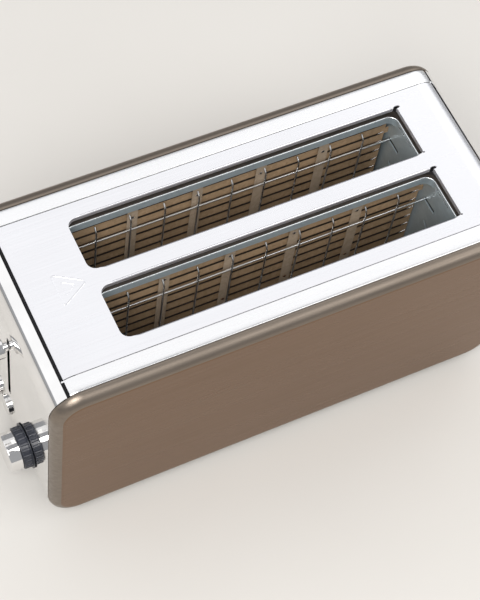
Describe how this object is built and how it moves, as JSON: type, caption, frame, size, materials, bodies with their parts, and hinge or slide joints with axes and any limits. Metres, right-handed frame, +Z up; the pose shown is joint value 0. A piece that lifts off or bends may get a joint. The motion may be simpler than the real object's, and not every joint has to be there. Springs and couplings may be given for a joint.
{
  "type": "long-slot toaster",
  "caption": "Long-slot electric toaster with a sprung bread lift, wire guides that close on the bread, a browning knob, push buttons and a pull-out crumb tray.",
  "frame": {"origin": "on the table under the middle of the whole object's bounding box", "axes": "+X along the body from the control end, with the lever and knob, to the far end with the crumb tray; +Y from the front panel to the back panel; +Z up"},
  "size_m": [0.412, 0.172, 0.1883],
  "materials": {
    "satin_steel": "satin, fine directional grain along the body",
    "pale_steel": "satin, paler than the deck",
    "polished_steel": "mirror polished",
    "warm_steel": "satin, warm grey-brown",
    "galvanised_sheet": "galvanised sheet, dull with faint spangle",
    "mica": "mica board, matt brown with a faint flake",
    "heating_ribbon": "oxidised resistance ribbon",
    "steel_wire": "bright drawn wire",
    "plain_steel": "plain sheet steel",
    "black_plastic": "matt moulded",
    "ring_plastic": "fine moulded texture",
    "nylon": "natural nylon",
    "copper_winding": "enamelled copper wire",
    "circuit_board": "glass-fibre board with solder mask",
    "foot_rubber": "matt moulded rubber"
  },
  "bodies": {
    "body": {"deck_plate": "satin_steel", "deck_rail_front": "pale_steel", "deck_rail_back": "pale_steel", "end_cover_left": "polished_steel", "end_cover_right": "polished_steel", "side_panel_front": "warm_steel", "side_panel_back": "warm_steel", "chamber_top": "galvanised_sheet", "chamber_end_left": "galvanised_sheet", "chamber_end_right": "galvanised_sheet", "chamber_shield_front": "galvanised_sheet", "chamber_shield_back": "galvanised_sheet", "spring_bracket": "galvanised_sheet", "heater_board_front": "mica", "heater_board_centre": "mica", "heater_board_back": "mica", "winding_front": "heating_ribbon", "winding_centre_front": "heating_ribbon", "winding_centre_back": "heating_ribbon", "winding_back": "heating_ribbon", "guide_rod": "steel_wire", "lift_spring": "steel_wire", "base_screw_1": "plain_steel", "base_screw_2": "plain_steel", "base_screw_3": "plain_steel", "base_screw_4": "plain_steel", "deck_frame": "black_plastic", "base_plate": "black_plastic", "potentiometer": "black_plastic", "cord_gland": "black_plastic", "terminal_block": "nylon", "electromagnet": "copper_winding", "control_board": "circuit_board", "foot_1": "foot_rubber", "foot_2": "foot_rubber", "foot_3": "foot_rubber", "foot_4": "foot_rubber"},
    "lift": {"lift_carriage": "plain_steel", "lever_handle": "polished_steel", "latch_armature": "plain_steel", "bread_lift_front": "plain_steel", "bread_lift_back": "plain_steel"},
    "guide_front_outer_wire": {"guide_front_outer": "steel_wire"},
    "guide_front_inner_wire": {"guide_front_inner": "steel_wire"},
    "guide_back_outer_wire": {"guide_back_outer": "steel_wire"},
    "guide_back_inner_wire": {"guide_back_inner": "steel_wire"},
    "knob": {"knob_ring": "ring_plastic", "knob_cap": "polished_steel", "knob_shaft": "nylon"},
    "first_button": {"button_1": "polished_steel"},
    "second_button": {"button_2": "polished_steel"},
    "third_button": {"button_3": "polished_steel"},
    "tray": {"crumb_tray": "plain_steel"}
  },
  "joints": [
    {"name": "lift_slide", "type": "slide", "parent": "body", "child": "lift", "axis": [0, 0, -1], "range_m": [0, 0.068], "stiffness_N_per_m": 60, "springref_m": -0.08, "deforming": ["lift_spring"]},
    {"name": "guide_front_outer_lean", "type": "hinge", "parent": "body", "child": "guide_front_outer_wire", "pos_m": [0.022, -0.0516, 0.038], "axis": [-1, 0, 0], "range_deg": [0, 6.5]},
    {"name": "guide_front_inner_lean", "type": "hinge", "parent": "body", "child": "guide_front_inner_wire", "pos_m": [0.022, -0.007, 0.038], "axis": [1, 0, 0], "range_deg": [0, 6.5]},
    {"name": "guide_back_outer_lean", "type": "hinge", "parent": "body", "child": "guide_back_outer_wire", "pos_m": [0.022, 0.0516, 0.038], "axis": [1, 0, 0], "range_deg": [0, 6.5]},
    {"name": "guide_back_inner_lean", "type": "hinge", "parent": "body", "child": "guide_back_inner_wire", "pos_m": [0.022, 0.007, 0.038], "axis": [-1, 0, 0], "range_deg": [0, 6.5]},
    {"name": "knob_turn", "type": "hinge", "parent": "body", "child": "knob", "pos_m": [-0.178, -0.036, 0.041], "axis": [1, 0, 0], "range_deg": [-135, 135]},
    {"name": "first_button_press", "type": "slide", "parent": "body", "child": "first_button", "axis": [1, 0, 0], "range_m": [0, 0.0015], "stiffness_N_per_m": 400, "springref_m": -0.002},
    {"name": "second_button_press", "type": "slide", "parent": "body", "child": "second_button", "axis": [1, 0, 0], "range_m": [0, 0.0015], "stiffness_N_per_m": 400, "springref_m": -0.002},
    {"name": "third_button_press", "type": "slide", "parent": "body", "child": "third_button", "axis": [1, 0, 0], "range_m": [0, 0.0015], "stiffness_N_per_m": 400, "springref_m": -0.002},
    {"name": "tray_slide", "type": "slide", "parent": "body", "child": "tray", "axis": [1, 0, 0], "range_m": [0, 0.3]}
  ],
  "couplings": [
    {"joint": "guide_front_outer_lean", "follows": "lift_slide", "rad_per_m": 1.665},
    {"joint": "guide_front_inner_lean", "follows": "lift_slide", "rad_per_m": 1.665},
    {"joint": "guide_back_outer_lean", "follows": "lift_slide", "rad_per_m": 1.665},
    {"joint": "guide_back_inner_lean", "follows": "lift_slide", "rad_per_m": 1.665}
  ]
}
